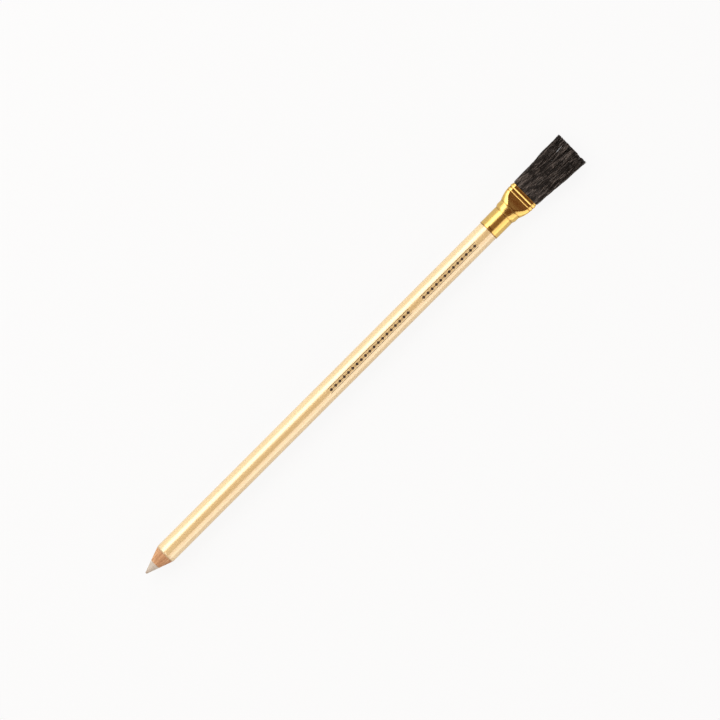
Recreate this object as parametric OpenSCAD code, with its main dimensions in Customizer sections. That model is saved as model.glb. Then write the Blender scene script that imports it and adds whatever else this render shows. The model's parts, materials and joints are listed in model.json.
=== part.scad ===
// Pencil-shaped typewriter eraser with a brush, lying on its side.
// The pencil runs along X, its point towards -X and its brush towards +X.
// The surface that it lies on is z = 0. Sizes are in millimetres.

/* [Barrel] */
// Outside diameter of the lacquered barrel
barrel_d = 7.5; // [6.6:0.1:9]
// Length of the lacquered barrel, from the sharpened edge to the ferrule
barrel_l = 155.5; // [80:0.5:170]
// Thickness of the lacquer on the wood
lacquer_t = 0.16; // [0.06:0.02:0.2]
// Thickness of the glue between the two wooden slats
glue_t = 0.1; // [0.06:0.02:0.2]
// How far the wood steps in where the ferrule goes on
tenon_step = 0.05; // [0.05:0.05:0.3]
// Length of the wood inside the ferrule
tenon_l = 6; // [4:0.1:7]

/* [Eraser point] */
// Diameter of the eraser core
core_d = 3.8; // [2.4:0.1:4.6]
// Room for glue round the core
core_fit = 0.05; // [0.02:0.01:0.1]
// Length of the sharpened cone
cone_l = 9.6; // [6:0.1:14]
// Diameter of the worn end of the point
point_d = 0.8; // [0.4:0.1:1.4]
// How far the worn end bulges forward
point_bulge = 0.3; // [0.1:0.05:0.5]

/* [Ferrule] */
// Thickness of the brass sheet
ferrule_wall = 0.35; // [0.25:0.05:0.45]
// Room between the wood and the ferrule
ferrule_fit = 0.06; // [0.02:0.01:0.1]
// Gap between the lacquer and the ferrule's rim
rim_gap = 0.05; // [0.02:0.01:0.2]
// Length of the round skirt
skirt_l = 7.5; // [7.1:0.1:12]
// Length of the slight collar between the skirt and the flare
collar_l = 3; // [2:0.1:4]
// Length over which the tube steps out to the collar
collar_rise = 1.3; // [0.8:0.1:1.8]
// How far the collar stands out on each side
collar_out = 0.4; // [0.1:0.05:0.6]
// Length over which the tube widens from the collar to the beads
flare_l = 4; // [3:0.1:8]
// Power of the flare's curve, 1 for a straight one
flare_power = 1.6; // [1:0.1:2.4]
// Outside thickness of the widened tube before its facets are pressed
crown_t = 3.75; // [3:0.05:6]
// Outside thickness of the flat mouth
mouth_t = 2.4; // [2:0.1:3.4]
// Length of the facets that are pressed flat, from their tops to the beads
facet_l = 4; // [1.6:0.1:5]
// Number of beads rolled round the band
bead_n = 2; // [1:1:3]
// Width of a bead
bead_w = 1.35; // [0.8:0.05:1.6]
// Height of a bead
bead_h = 0.2; // [0.05:0.05:0.3]
// Length of the plain lip beyond the beads
lip_l = 0.5; // [0.3:0.05:1]
// Width of the creases at both ends of the collar
crease_w = 0.8; // [0.4:0.1:1.2]
// Depth of these creases
crease_h = 0.08; // [0.02:0.02:0.2]

/* [Brush] */
// Free length of the bristles, from the ferrule's mouth
bristle_l = 22.6; // [12:0.1:35]
// Width of the tuft at its tips
tuft_w = 13.6; // [11:0.1:18]
// Thickness of the tuft at its tips
tuft_t = 2.6; // [1.6:0.1:4]
// Size across one bristle at its root
strand_d = 0.13; // [0.08:0.01:0.14]
// Share of its size that a bristle keeps at its tip
strand_taper = 0.6; // [0.3:0.05:1]
// Number of bristles across the tuft
strand_cols = 50; // [40:1:54]
// Number of bristles through the tuft
strand_rows = 8; // [7:1:9]
// How far the shortest bristle ends behind the longest
tip_ragged = 1; // [0:0.1:2]
// Length of the bristles inside the ferrule
root_l = 7; // [4:0.1:9]
// Room between the set bristles and the ferrule
root_fit = 0.05; // [0.02:0.01:0.1]
// Gap between the set roots and the tuft that bends
flex_gap = 0.1; // [0.05:0.05:0.3]
// Thickness of the slice that joins the bristles, beyond the bend's axis
slice_l = 0.4; // [0.2:0.1:1]

/* [Hidden] */
$fn = 96;

// Points round one section of the pressed tube, and steps along its collar and flare and over a bead
section_sides = 48;
collar_steps = 5;
flare_steps = 9;
bead_steps = 4;
// Share of the facets from the beads where they ease out, and how softly they do
facet_turn = 0.25;
facet_soft = 0.3;
// Points on the worn end of the eraser
nose_steps = 6;
// Seed of the bristles' lengths
ragged_seed = 11;
// Steps round the back of the tuft's slice, and the angle where its flat begins
bend_steps = 3;
bend_end = 75;

// Radii of the barrel, from the outside in
barrel_r = barrel_d / 2;
wood_r = barrel_r - lacquer_t;
tenon_r = wood_r - tenon_step;
core_r = core_d / 2;
groove_r = core_r + core_fit;
point_r = point_d / 2;

// Round end of the ferrule, and the middle of its sheet
bore_r = tenon_r + ferrule_fit;
skirt_r = bore_r + ferrule_wall;
sheet_r = bore_r + ferrule_wall / 2;

// Flat end of the ferrule: the sheet keeps its length round the section
mouth_sheet_r = (mouth_t - ferrule_wall) / 2;
crown_sheet_r = (crown_t - ferrule_wall) / 2;
mouth_run = PI * (sheet_r - mouth_sheet_r) / 2;
root_r = mouth_sheet_r - ferrule_wall / 2 - root_fit;
tip_d = strand_d * strand_taper;

// Places along the pencil
band_l = bead_n * bead_w + lip_l;
overall_l = cone_l + barrel_l + rim_gap + skirt_l + collar_l + flare_l + band_l + bristle_l;
tip_x = -overall_l / 2;
edge_x = tip_x + cone_l;
lacquer_end_x = edge_x + barrel_l;
ferrule_x = lacquer_end_x + rim_gap;
tenon_end_x = ferrule_x + tenon_l;
collar_x = ferrule_x + skirt_l;
flare_x = collar_x + collar_l;
bead_x = flare_x + flare_l;
mouth_x = bead_x + band_l;
facet_x = bead_x - facet_l;
root_x = mouth_x - root_l;
hinge_x = mouth_x + flex_gap + root_r;
strand_x = hinge_x + slice_l;
tuft_end_x = mouth_x + bristle_l;

// Height of the pencil's axis above the surface that it lies on
axis_z = max(skirt_r, barrel_r);

// Place on the sharpened cone where its radius is r
function cone_x(r) =
    tip_x + point_bulge + (cone_l - point_bulge) * (r - point_r) / (barrel_r - point_r);

// Share of a way from 0 to 1, and an eased step along it
function share(u) = min(1, max(0, u));
function eased(u) = share(u) * share(u) * (3 - 2 * share(u));

// Half the width of the tube's sheet at x: it steps out to the collar, then widens up to the beads
function width_at(x) =
    sheet_r + collar_out * eased((x - collar_x) / collar_rise)
        + (mouth_run + mouth_sheet_r - sheet_r - collar_out)
            * (1 - pow(1 - share((x - flare_x) / flare_l), flare_power));

// Half its height, which falls from the collar to the beads
function crown_at(x) = sheet_r + eased((x - collar_x) / (bead_x - collar_x)) * (crown_sheet_r - sheet_r);

// What the facets leave of that: they fall straight and ease out at the beads
function bent(u) = u - facet_turn + norm([u - facet_turn, facet_soft]);
function facet_fall(u) = (bent(max(0, u)) - bent(0)) / (bent(1) - bent(0));
function press_at(x) =
    x < facet_x ? crown_at(x)
        : mouth_sheet_r + (crown_at(facet_x) - mouth_sheet_r) * facet_fall((bead_x - x) / facet_l);

// Height of the beads over the sheet at x, and the creases at the ends of the collar
function bead_at(x) =
    x > bead_x && x < mouth_x - lip_l ? bead_h * pow(sin(180 * (x - bead_x) / bead_w), 2) : 0;
function crease_at(x) =
    let (off = min(abs(x - collar_x), abs(x - flare_x)))
    off < crease_w / 2 ? crease_h * pow(cos(180 * off / crease_w), 2) : 0;

// One section of the tube at x: an ellipse with its flats outside the sheet, cut level by the facets
// and grown by a distance from the middle of the sheet
function section(x, grow) =
    let (full = 1 / cos(180 / section_sides))
    let (w = (width_at(x) + grow) * full)
    let (h = (crown_at(x) + grow) * full)
    [
        for (i = [0 : section_sides - 1])
            let (a = (i + 0.5) * 360 / section_sides)
            [x, w * cos(a), axis_z + sign(sin(a)) * min(h * abs(sin(a)), press_at(x) + grow)]
    ];

// Sections of the tube's outside, its inside, and what fills it with the given room
function outer_section(x) = section(x, ferrule_wall / 2 + bead_at(x) - crease_at(x));
function inner_section(x, room = 0) = section(x, -ferrule_wall / 2 - room);

// Numbers of the n points of a ring that starts at one of them
function ring_ids(start, n) = [for (i = [0 : n - 1]) start + i];

// Triangles from one ring's point numbers to the next one's
function ring_faces(a, b) = [
    for (i = [0 : len(a) - 1])
        let (j = (i + 1) % len(a))
        each [[a[i], b[i], b[j]], [a[i], b[j], a[j]]]
];

// Places between two ends, in equal steps and without the first end
function steps(from, to, count) = [for (k = [1 : count]) from + (to - from) * k / count];

// Places of the tube's sections from its first crease to its beads, and along all of its inside
flare_places = concat(
    [collar_x, collar_x + crease_w / 2],
    steps(collar_x + crease_w / 2, flare_x - crease_w / 2, collar_steps),
    [flare_x, flare_x + crease_w / 2],
    steps(flare_x + crease_w / 2, bead_x, flare_steps)
);
inside_places = concat([ferrule_x], flare_places, [mouth_x]);

// Solid between the first and the last of a row of rings
module ring_solid(rings) {
    n = len(rings[0]);
    last = len(rings) - 1;
    sides = [for (k = [0 : last - 1]) each ring_faces(ring_ids(k * n, n), ring_ids((k + 1) * n, n))];
    front = ring_ids(0, n);
    back = [for (i = [n - 1 : -1 : 0]) last * n + i];
    polyhedron([for (ring = rings) each ring], concat(sides, [front, back]));
}

// Wall whose rings run out along its outside and home along its inside
module ring_wall(rings) {
    n = len(rings[0]);
    count = len(rings);
    faces = [
        for (k = [0 : count - 1])
            each ring_faces(ring_ids(k * n, n), ring_ids((k + 1) % count * n, n))
    ];
    polyhedron([for (ring = rings) each ring], faces);
}

// Turned solid round the pencil's axis, from points of radius and place along X
module turned(outline) {
    translate([0, 0, axis_z])
        rotate([0, 90, 0])
            rotate_extrude()
                polygon(outline);
}

// What fills the pressed tube between two places, with room to its wall
module tube_fill(from, to) {
    between = [for (x = inside_places) if (x > from && x < to) x];
    places = concat([from], between, [to]);
    ring_solid([for (x = places) inner_section(x, root_fit)]);
}

// Both slats as one turned piece with the groove for the core
module slats() {
    turned([
        [groove_r, cone_x(groove_r)],
        [wood_r, cone_x(wood_r)],
        [wood_r, lacquer_end_x],
        [tenon_r, lacquer_end_x],
        [tenon_r, tenon_end_x],
        [groove_r, tenon_end_x],
    ]);
}

// Block as large as the slats, between two heights measured from the axis
module slab(low, high) {
    translate([tip_x, -barrel_r, axis_z + low])
        cube([overall_l, barrel_d, high - low]);
}

module barrel_half_upper() {
    color("peru")
        intersection() {
            slats();
            slab(glue_t / 2, barrel_d);
        }
}

module barrel_half_lower() {
    color("sienna")
        intersection() {
            slats();
            slab(-barrel_d, -glue_t / 2);
        }
}

// Two strips of glue, one on each side of the core
module slat_glue() {
    color("khaki")
        intersection() {
            slats();
            slab(-glue_t / 2, glue_t / 2);
        }
}

// Full-length rod with its worn point
module eraser_core() {
    nose = [
        for (k = [0 : nose_steps])
            let (a = 90 * k / nose_steps)
            [point_r * sin(a), tip_x + point_bulge * (1 - cos(a))]
    ];
    shank = [
        [core_r, cone_x(core_r)],
        [core_r, tenon_end_x],
        [0, tenon_end_x],
    ];
    color("gainsboro")
        turned(concat(nose, shank));
}

// Skin of the barrel, cut by the sharpening at its front
module lacquer_coat() {
    color("burlywood")
        turned([
            [wood_r, cone_x(wood_r)],
            [barrel_r, edge_x],
            [barrel_r, lacquer_end_x],
            [wood_r, lacquer_end_x],
        ]);
}

// Brass tube: a round skirt, a creased collar, a flare with two facets, and a flat beaded band
module ferrule() {
    skirt_places = [ferrule_x, collar_x - crease_w / 2];
    bead_places = steps(bead_x, mouth_x - lip_l, bead_n * bead_steps);
    outside = concat(skirt_places, flare_places, bead_places, [mouth_x]);
    home = [for (k = [len(inside_places) - 1 : -1 : 0]) inner_section(inside_places[k])];
    color("gold")
        ring_wall(concat([for (x = outside) outer_section(x)], home));
}

// Plug between the wood and the bristles, which are set in it
module setting_resin() {
    color("darkgoldenrod")
        tube_fill(tenon_end_x, root_x);
}

// Bristles inside the ferrule, held as one block by the resin
module bristle_roots() {
    color("dimgray")
        tube_fill(root_x, mouth_x);
}

// Corner of a cell on the face that the bristles leave, as [y, z] from the axis
function cell_corner(i, j) =
    let (z = root_r * (2 * j / strand_rows - 1))
    let (half = mouth_run + sqrt(max(0, root_r * root_r - z * z)))
    [half * (2 * i / strand_cols - 1), z];

// Middle of a cell, where its bristle grows
function cell_middle(i, j) =
    (cell_corner(i, j) + cell_corner(i + 1, j) + cell_corner(i, j + 1) + cell_corner(i + 1, j + 1)) / 4;

// Steps round the edge of the face, as [column, row]
cell_edge = concat(
    [for (i = [0 : strand_cols - 1]) [i, 0]],
    [for (j = [0 : strand_rows - 1]) [strand_cols, j]],
    [for (i = [strand_cols : -1 : 1]) [i, strand_rows]],
    [for (j = [strand_rows : -1 : 1]) [0, j]]
);

// Edge of the slice at an angle round the axis of the bend, where 0 lies across that axis
function bend_ring(a) = [
    for (e = cell_edge)
        let (p = cell_corner(e[0], e[1]))
        [hinge_x - root_r * sin(a), p[0], axis_z + p[1] * cos(a)]
];

// Three corners of a bristle of the given size across, at x
function strand_ring(x, yz, across) = [
    for (a = [90, 210, 330])
        [x, yz[0] + across / 2 * cos(a), axis_z + yz[1] + across / 2 * sin(a)]
];

// Root and tip of the bristle of one cell, which fans out and stops short by a share of the ragged length
function strand_points(i, j, short) =
    let (root = cell_middle(i, j))
    let (fan_y = (tuft_w - tip_d) / 2 / abs(cell_middle(0, floor(strand_rows / 2))[0]))
    let (fan_z = (tuft_t - tip_d) / 2 / abs(cell_middle(0, 0)[1]))
    concat(
        strand_ring(strand_x, root, strand_d),
        strand_ring(tuft_end_x - tip_ragged * short, [root[0] * fan_y, root[1] * fan_z], tip_d)
    );

// Triangles of the face between a cell's corners, a to d, and its bristle's root, s to s + 2
function cell_faces(a, b, c, d, s) = [
    [a, s + 2, b], [a, s + 1, s + 2], [b, s + 2, c], [c, s + 2, s],
    [c, s, d], [d, s + 1, a], [d, s, s + 1],
];

// Triangles of the flat at the back of the slice, between its lower and upper edges and at its ends
function bend_flat_faces() =
    let (n = len(cell_edge))
    let (top = 2 * strand_cols + strand_rows)
    concat(
        [
            for (i = [0 : strand_cols - 1])
                each [[i, i + 1, top - i - 1], [i, top - i - 1, top - i]]
        ],
        [for (q = [1 : strand_rows - 1]) [strand_cols, strand_cols + q, strand_cols + q + 1]],
        [for (q = [1 : strand_rows - 1]) [top, top + q, (top + q + 1) % n]]
    );

// The bristles that bend, in one piece with a slice of their set roots.
// The slice's back is rounded about the axis of the bend, so that it turns in its own room.
module bristle_tuft() {
    n = len(cell_edge);
    bend_points = [for (k = [bend_steps : -1 : 0]) each bend_ring(bend_end * k / bend_steps)];
    bend_faces = [
        for (k = [0 : bend_steps - 1])
            each ring_faces(ring_ids(k * n, n), ring_ids((k + 1) * n, n))
    ];

    // Corners of the cells, after the rings of the bend
    grid = len(bend_points);
    grid_points = [
        for (j = [0 : strand_rows])
            for (i = [0 : strand_cols])
                let (p = cell_corner(i, j))
                [strand_x, p[0], axis_z + p[1]]
    ];
    edge_ids = [for (e = cell_edge) grid + e[1] * (strand_cols + 1) + e[0]];
    slice_faces = ring_faces(ring_ids(bend_steps * n, n), edge_ids);

    // Bristles, after the corners
    first = grid + len(grid_points);
    draws = rands(0, 1, strand_rows * strand_cols, ragged_seed);
    strands = [
        for (j = [0 : strand_rows - 1])
            for (i = [0 : strand_cols - 1])
                each strand_points(i, j, draws[j * strand_cols + i] - min(draws))
    ];
    strand_faces = [
        for (j = [0 : strand_rows - 1])
            for (i = [0 : strand_cols - 1])
                let (a = grid + j * (strand_cols + 1) + i)
                let (d = a + strand_cols + 1)
                let (s = first + 6 * (j * strand_cols + i))
                each concat(
                    cell_faces(a, a + 1, d + 1, d, s),
                    ring_faces(ring_ids(s, 3), ring_ids(s + 3, 3)),
                    [[s + 5, s + 4, s + 3]]
                )
    ];
    color("darkslategray")
        polyhedron(
            concat(bend_points, grid_points, strands),
            concat(bend_flat_faces(), bend_faces, slice_faces, strand_faces)
        );
}

barrel_half_upper();
barrel_half_lower();
slat_glue();
eraser_core();
lacquer_coat();
ferrule();
setting_resin();
bristle_roots();
bristle_tuft();
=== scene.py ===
"""Looks of a pencil-shaped typewriter eraser with a brush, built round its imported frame.

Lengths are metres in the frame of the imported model. The pencil runs along X, its eraser point
towards -X and its brush towards +X, and it lies on the floor z = 0.
"""

import json
import logging
import math
from dataclasses import dataclass
from enum import Enum
from typing import Any, Optional, Sequence, Union

import bpy
import numpy as np
from mathutils import Matrix, Vector


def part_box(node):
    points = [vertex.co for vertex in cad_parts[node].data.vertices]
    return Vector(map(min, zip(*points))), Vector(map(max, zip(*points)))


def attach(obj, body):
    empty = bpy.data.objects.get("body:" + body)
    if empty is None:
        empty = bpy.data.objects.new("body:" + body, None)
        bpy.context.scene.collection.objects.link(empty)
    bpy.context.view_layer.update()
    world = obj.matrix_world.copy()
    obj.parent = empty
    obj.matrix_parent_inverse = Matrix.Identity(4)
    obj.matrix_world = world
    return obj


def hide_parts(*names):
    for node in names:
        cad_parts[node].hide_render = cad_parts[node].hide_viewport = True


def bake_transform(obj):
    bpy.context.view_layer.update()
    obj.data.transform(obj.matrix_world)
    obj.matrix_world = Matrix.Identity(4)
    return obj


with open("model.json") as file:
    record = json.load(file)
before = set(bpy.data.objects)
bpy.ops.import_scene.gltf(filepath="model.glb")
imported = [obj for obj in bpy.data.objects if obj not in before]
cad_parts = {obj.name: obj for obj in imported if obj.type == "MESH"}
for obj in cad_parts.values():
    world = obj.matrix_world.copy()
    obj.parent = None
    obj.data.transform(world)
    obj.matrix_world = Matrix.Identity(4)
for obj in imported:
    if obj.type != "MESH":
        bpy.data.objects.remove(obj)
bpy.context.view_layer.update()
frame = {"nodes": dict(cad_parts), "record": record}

MM = 0.001
LOG = logging.getLogger("typewriter_eraser")

Array = np.ndarray
Piece = bpy.types.Object
Material = bpy.types.Material
Colour = tuple[float, float, float]
Pair = tuple[float, float]
Number = Union[float, "Shade"]


# Meshes


def ring_faces(rings: int, cols: int, closed: bool = False) -> Array:
    """Quads between rings of points that are numbered ring by ring.

    Args:
        rings: Number of rings.
        cols: Number of points in a ring.
        closed: True where the last ring joins the first.

    Returns:
        Four point numbers a quad. With rings along +X and points turning from +Y to +Z, the
        faces point away from the axis.
    """
    first_rings = np.arange(rings if closed else rings - 1)
    ring, col = np.meshgrid(first_rings, np.arange(cols), indexing="ij")
    next_ring, next_col = (ring + 1) % rings, (col + 1) % cols
    corners = [(ring, col), (ring, next_col), (next_ring, next_col), (next_ring, col)]
    return np.stack([row * cols + point for row, point in corners], axis=-1).reshape(-1, 4)


def pole_faces(ring: Array, pole: int, faces_forward: bool) -> Array:
    """Triangles from a ring of point numbers to one point.

    Args:
        ring: Point numbers of the ring, turning from +Y to +Z.
        pole: Number of the point that closes the ring.
        faces_forward: True where the triangles look towards +X.

    Returns:
        Three point numbers a triangle.
    """
    following = np.roll(ring, -1)
    first, second = (ring, following) if faces_forward else (following, ring)
    return np.stack([first, second, np.full_like(ring, pole)], axis=-1)


def capped_faces(rings: int, cols: int) -> list[Array]:
    """Faces of a row of rings that two points after them close, the near end's point first."""
    count = rings * cols
    return [
        ring_faces(rings, cols),
        pole_faces(np.arange(cols), count, False),
        pole_faces(np.arange(count - cols, count), count + 1, True),
    ]


def repeated(faces: Sequence[Array], copies: int, size: int) -> list[Array]:
    """Faces of a row of equal pieces, from those of the first and the number of its points."""
    first = (np.arange(copies) * size)[:, None, None]
    return [(first + block).reshape(-1, block.shape[1]) for block in faces]


def full_turn(count: int) -> Array:
    """Angles of a ring's points, in equal steps from +Y."""
    return np.linspace(0, 2 * np.pi, count, endpoint=False)


def spread_points(x: Array, y: Array, z: Array) -> Array:
    """Points from coordinates that spread over one grid."""
    return np.stack(np.broadcast_arrays(x, y, z), axis=-1)


def turned(x: Array, radius: Array, turn: Array, axis_z: float) -> Array:
    """Points of rings round the pencil's axis: y = r cos(a), z = r sin(a) over the axis."""
    return spread_points(x, radius * np.cos(turn), axis_z + radius * np.sin(turn))


def signed_power(base: Array, power: Union[float, Array]) -> Array:
    """Power of a number's size, with the number's own sign."""
    return np.sign(base) * np.abs(base) ** power


def smooth(low: float, high: float, numbers: Array) -> Array:
    """Eased step from 0 at low to 1 at high."""
    share = np.clip((numbers - low) / (high - low), 0, 1)
    return share * share * (3 - 2 * share)


def make_piece(
    name: str,
    points: Array,
    faces: Sequence[Array],
    material: Material,
    values: Optional[dict[str, Array]] = None,
) -> Piece:
    """Puts points and faces into a smooth mesh object at the origin.

    Args:
        name: Name of the piece.
        points: Places of the points, in any grid shape that ends in x, y, z.
        faces: Arrays of point numbers, one row a face.
        material: Finish of the whole piece.
        values: Numbers for each point that the finish reads, by name.

    Returns:
        The linked object.
    """
    mesh = bpy.data.meshes.new(name)
    corner_lists = [face for block in faces for face in block.tolist()]
    mesh.from_pydata(points.reshape(-1, 3).tolist(), [], corner_lists)
    mesh.polygons.foreach_set("use_smooth", np.ones(len(mesh.polygons), dtype=bool))
    for key, numbers in (values or {}).items():
        attribute = mesh.attributes.new(key, "FLOAT", "POINT")
        attribute.data.foreach_set("value", numbers.astype(np.float32).ravel())
    mesh.materials.append(material)
    mesh.update()
    piece = bpy.data.objects.new(name, mesh)
    bpy.context.scene.collection.objects.link(piece)
    LOG.info("%s: %d points, %d faces", name, len(mesh.vertices), len(mesh.polygons))
    return piece


def seat(piece: Piece, node: str) -> None:
    """Fixes a piece to the handle in the place of a node."""
    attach(piece, "handle")
    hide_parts(node)


def dress_node(node: str, material: Material) -> None:
    """Gives a carried-over node its finish."""
    mesh = frame["nodes"][node].data
    mesh.materials.clear()
    mesh.materials.append(material)
    LOG.info("%s: carried over", node)


@dataclass(frozen=True)
class Waves:
    """Seeded sine waves over a tube, each turning a whole number of times round it."""

    seed: int
    count: int
    low: float
    high: float
    most_turns: int = 3

    def over(self, places: Array, angles: Array) -> Array:
        """Sum of the waves, which come low to high times a metre along the tube.

        Args:
            places: Places along the tube, one a row.
            angles: Angles round the tube, one a column.

        Returns:
            Numbers of about -1 to 1, one for each row and column.
        """
        rng = np.random.default_rng(self.seed)
        pitch = rng.uniform(self.low, self.high, self.count)
        turns = rng.integers(-self.most_turns, self.most_turns + 1, self.count)
        start = rng.uniform(0, 1, self.count)[:, None, None]
        along = pitch[:, None, None] * places[None, :, None]
        around = turns[:, None, None] * angles[None, None, :]
        return np.sin(2 * np.pi * (along + start) + around).sum(0) / math.sqrt(self.count)


# Finishes


@dataclass(frozen=True)
class Shade:
    """One number that varies over a surface: arithmetic on it adds Math nodes to its tree."""

    tree: "ShadeTree"
    socket: bpy.types.NodeSocket

    def math(self, operation: str, *others: Number) -> "Shade":
        """Adds a Math node that takes this number first."""
        return self.tree.node("ShaderNodeMath", {"operation": operation}, [self, *others])

    def __add__(self, other: Number) -> "Shade":
        """This number plus another."""
        return self.math("ADD", other)

    __radd__ = __add__

    def __mul__(self, other: Number) -> "Shade":
        """This number times another."""
        return self.math("MULTIPLY", other)

    __rmul__ = __mul__

    def __sub__(self, other: Number) -> "Shade":
        """This number less another."""
        return self.math("SUBTRACT", other)

    def __rsub__(self, other: float) -> "Shade":
        """A plain number less this one."""
        return self.tree.node("ShaderNodeMath", {"operation": "SUBTRACT"}, [other, self])

    def step(self, low: float, high: float) -> "Shade":
        """Eased step from 0 where this number is low to 1 where it is high."""
        settings = {"interpolation_type": "SMOOTHSTEP", "clamp": True}
        return self.tree.node("ShaderNodeMapRange", settings, [self, low, high, 0.0, 1.0])


class ShadeTree:
    """Node tree of one material or world, with its shader."""

    def __init__(
        self, owner: Union[Material, bpy.types.World], shader: str = "Principled BSDF"
    ) -> None:
        """Takes over the tree of a new material or world.

        Args:
            owner: What the tree belongs to.
            shader: Name of the shader node that the tree starts with.
        """
        owner.use_nodes = True
        self.nodes = owner.node_tree.nodes
        self.links = owner.node_tree.links
        self.shader = self.nodes[shader]

    def node(
        self,
        kind: str,
        settings: dict[str, Any],
        inputs: Union[Sequence[Any], dict[Union[int, str], Any]],
        output: Union[int, str] = 0,
    ) -> Shade:
        """Adds any node.

        Args:
            kind: Blender's type of the node.
            settings: The node's own properties, which are set first.
            inputs: Values or links of its sockets, in order, by number or by name.
            output: Number or name of the socket that is returned.

        Returns:
            One output of the node.
        """
        added = self.nodes.new(kind)
        for key, value in settings.items():
            setattr(added, key, value)
        pairs = inputs.items() if isinstance(inputs, dict) else enumerate(inputs)
        for key, value in pairs:
            self.plug(added.inputs[key], value)
        return Shade(self, added.outputs[output])

    def plug(self, socket: bpy.types.NodeSocket, value: Any) -> None:
        """Links a shade to a socket, or sets the socket to a plain value."""
        if isinstance(value, Shade):
            self.links.new(value.socket, socket)
        else:
            socket.default_value = value

    def set(self, **sockets: Any) -> None:
        """Sets sockets of the tree's shader, with _ for a space in their names."""
        for key, value in sockets.items():
            self.plug(self.shader.inputs[key.replace("_", " ")], value)

    def millimetres(self, stretch: Sequence[float] = (1, 1, 1)) -> Shade:
        """Object coordinates in millimetres, times a stretch along each axis."""
        place = self.node("ShaderNodeTexCoord", {}, [], "Object")
        scale = tuple(share / MM for share in stretch)
        return self.node("ShaderNodeVectorMath", {"operation": "MULTIPLY"}, [place, scale])

    def axis_place(self, axis: int) -> Shade:
        """One Object coordinate in millimetres, where axis 0 is X."""
        return self.node("ShaderNodeSeparateXYZ", {}, [self.millimetres()], axis)

    def noise(
        self,
        stretch: Sequence[float],
        detail: float = 3.0,
        roughness: float = 0.55,
        bend: float = 0.0,
    ) -> Shade:
        """Noise of about 0 to 1.

        Args:
            stretch: Bumps a millimetre along each axis.
            detail: Number of finer layers.
            roughness: Share that each finer layer keeps.
            bend: How much the pattern is bent by itself.

        Returns:
            The noise.
        """
        inputs = {"Vector": self.millimetres(stretch), "Scale": 1.0, "Distortion": bend}
        layers = {"Detail": detail, "Roughness": roughness}
        return self.node("ShaderNodeTexNoise", {}, {**inputs, **layers})

    def attribute(self, name: str) -> Shade:
        """A number that the mesh holds for each point."""
        return self.node("ShaderNodeAttribute", {"attribute_name": name}, [], "Fac")

    def mix(self, share: Shade, low: Union[Colour, Shade], high: Union[Colour, Shade]) -> Shade:
        """Colour between two, low where the share is 0 and high where it is 1."""
        first, second = (end if isinstance(end, Shade) else (*end, 1.0) for end in (low, high))
        # The colour sockets share their names with others, so they go by number
        inputs = {0: share, 6: first, 7: second}
        return self.node("ShaderNodeMix", {"data_type": "RGBA"}, inputs, 2)

    def bump(self, height: Shade, depth: float) -> None:
        """Raises the shader's surface by a height of 0 to 1 times a depth in metres."""
        inputs = {"Strength": 1.0, "Distance": depth, "Height": height}
        self.set(Normal=self.node("ShaderNodeBump", {}, inputs))


@dataclass(frozen=True)
class Finish:
    """A material that one kind of piece wears."""

    name: str

    def material(self) -> Material:
        """Makes the material and paints it."""
        made = bpy.data.materials.new(self.name)
        self.paint(ShadeTree(made))
        return made

    def paint(self, tree: ShadeTree) -> None:
        """Sets the sockets of a new tree."""
        raise NotImplementedError


@dataclass(frozen=True)
class PearlLacquer(Finish):
    """Pale gold lacquer with a pearly gloss, over wood whose grain shows through a little."""

    deep: Colour = (0.825, 0.600, 0.268)
    pale: Colour = (0.895, 0.695, 0.350)
    worn_through: Colour = (0.52, 0.30, 0.12)
    worn_mm: float = 1.4
    relief: float = 0.006 * MM
    edge_x: float = 0.0

    def paint(self, tree: ShadeTree) -> None:
        """Streaks along the barrel, soft clouds, dulled gloss by the sharpened edge."""
        streaks = tree.noise((0.05, 1.3, 1.3), detail=4.0, roughness=0.6)
        clouds = tree.noise((0.06, 0.22, 0.22), detail=2.0)
        grit = tree.noise((2.2, 2.2, 2.2), detail=2.0)
        worn = 1.0 - (tree.axis_place(0) - self.edge_x / MM).step(0.0, self.worn_mm)
        tone = (streaks * 0.55 + clouds * 0.45).step(0.3, 0.7)
        coat = tree.mix(tone, self.deep, self.pale)
        tree.set(
            Base_Color=tree.mix(worn * 0.25, coat, self.worn_through),
            Roughness=0.34 + grit * 0.08 + worn * 0.15,
            Metallic=0.28,
            IOR=1.6,
            Coat_Weight=1.0,
            Coat_IOR=2.3,
            Coat_Roughness=0.18,
        )
        tree.bump(grit * 0.4 + streaks * 0.6, self.relief)


@dataclass(frozen=True)
class CedarWood(Finish):
    """Reddish cedar cut across its grain by the sharpener."""

    pale: Colour = (0.67, 0.385, 0.195)
    deep: Colour = (0.42, 0.195, 0.084)
    pore: Colour = (0.20, 0.075, 0.03)
    relief: float = 0.03 * MM

    def paint(self, tree: ShadeTree) -> None:
        """Growth rings, fine fibres and pores, all long along the pencil, with painted light and
        shade: paler towards +Y.
        """
        fibres = tree.noise((0.7, 9.0, 9.0), detail=4.0, roughness=0.65)
        rings = tree.noise((0.05, 1.5, 0.55), detail=2.0)
        pores = tree.noise((1.6, 16.0, 16.0), detail=1.0).step(0.62, 0.72)
        # Painted light and shade: the Y term makes the wood paler on the +Y side, where the key
        # lamps stand, and darker on the -Y side
        grain_and_painted_light = rings * 0.6 + fibres * 0.4 - tree.axis_place(1) * 0.028
        wood = tree.mix(grain_and_painted_light.step(0.36, 0.66), self.pale, self.deep)
        tree.set(Base_Color=tree.mix(pores * 0.55, wood, self.pore), Roughness=0.55 + fibres * 0.2)
        tree.bump(fibres - pores * 0.5, self.relief)


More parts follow.
